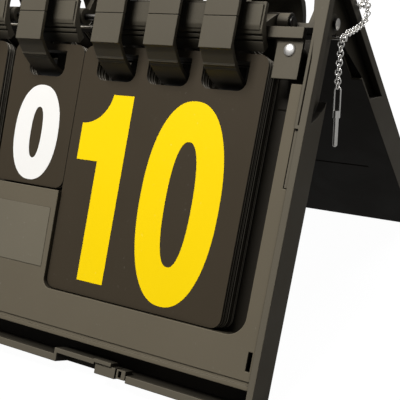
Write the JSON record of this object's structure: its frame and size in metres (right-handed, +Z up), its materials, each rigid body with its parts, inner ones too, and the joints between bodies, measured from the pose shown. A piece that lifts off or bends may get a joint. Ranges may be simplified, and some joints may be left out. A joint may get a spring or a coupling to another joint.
{
  "type": "tabletop flip scoreboard",
  "caption": "Tabletop flip scoreboard: a folding A-frame case whose number cards hang on wide ring bands along the ridge, with latches and a chained locking pin.",
  "frame": {"origin": "on the table plane, at the middle of the space between the front and back feet, below the ridge rod", "axes": "+X along the ridge to the right of someone who faces the front cards, -Y towards that person, +Z up"},
  "size_m": [0.395, 0.2376, 0.1939],
  "materials": {
    "case_plastic": "fine grained satin",
    "ring_plastic": "satin",
    "card_plastic": "smooth satin",
    "numeral_yellow": "printed, satin",
    "numeral_white": "printed, satin",
    "label_plate": "smooth satin",
    "cap_plastic": "moulded black",
    "bright_steel": "bright plated"
  },
  "bodies": {
    "front_half": {"front_shell": "case_plastic", "front_panel": "case_plastic", "front_label": "label_plate", "front_leaf_right": "case_plastic", "front_leaf_left": "case_plastic", "front_rivets": "bright_steel", "front_latch_hook": "case_plastic", "front_latch_catch": "case_plastic", "ridge_rod": "bright_steel", "rod_caps": "cap_plastic", "side_pins": "bright_steel", "front_guides": "case_plastic", "ring_arches": "ring_plastic", "ring_hooks": "ring_plastic", "front_points_stack_right": "card_plastic", "front_points_stack_left": "card_plastic", "front_sets_stack_right": "card_plastic", "front_sets_stack_left": "card_plastic", "front_chain_studs": "bright_steel"},
    "back_half": {"back_shell": "case_plastic", "back_panel": "case_plastic", "back_label": "label_plate", "back_leaf_right": "case_plastic", "back_leaf_left": "case_plastic", "back_rivets": "bright_steel", "back_latch_hook": "case_plastic", "back_latch_catch": "case_plastic", "back_guides": "case_plastic", "back_points_stack_right": "card_plastic", "back_points_stack_left": "card_plastic", "back_sets_stack_right": "card_plastic", "back_sets_stack_left": "card_plastic", "back_points_numerals": "numeral_yellow", "back_sets_numerals": "numeral_white", "back_chain_studs": "bright_steel", "retaining_chain": "bright_steel"},
    "points_flip_right": {"points_card_right": "card_plastic", "points_numeral_right": "numeral_yellow"},
    "points_flip_left": {"points_card_left": "card_plastic", "points_numeral_left": "numeral_yellow"},
    "sets_flip_right": {"sets_card_right": "card_plastic", "sets_numeral_right": "numeral_white"},
    "sets_flip_left": {"sets_card_left": "card_plastic", "sets_numeral_left": "numeral_white"},
    "lock_pin": {"pin_chain": "bright_steel", "locking_pin": "bright_steel"}
  },
  "joints": [
    {"name": "stand_fold", "type": "hinge", "parent": "front_half", "child": "back_half", "pos_m": [0, 0, 0.15813], "axis": [-1, 0, 0], "range_deg": [0, 65]},
    {"name": "points_right_turn", "type": "hinge", "parent": "front_half", "child": "points_flip_right", "pos_m": [0, 0, 0.15813], "axis": [-1, 0, 0], "range_deg": [0, 210]},
    {"name": "points_left_turn", "type": "hinge", "parent": "front_half", "child": "points_flip_left", "pos_m": [0, 0, 0.15813], "axis": [-1, 0, 0], "range_deg": [0, 210]},
    {"name": "sets_right_turn", "type": "hinge", "parent": "front_half", "child": "sets_flip_right", "pos_m": [0, 0, 0.15813], "axis": [-1, 0, 0], "range_deg": [0, 210]},
    {"name": "sets_left_turn", "type": "hinge", "parent": "front_half", "child": "sets_flip_left", "pos_m": [0, 0, 0.15813], "axis": [-1, 0, 0], "range_deg": [0, 210]},
    {"name": "pin_swing", "type": "hinge", "parent": "front_half", "child": "lock_pin", "pos_m": [0.195, -0.0072, 0.15387], "axis": [1, 0, 0], "range_deg": [-20, 20]}
  ]
}
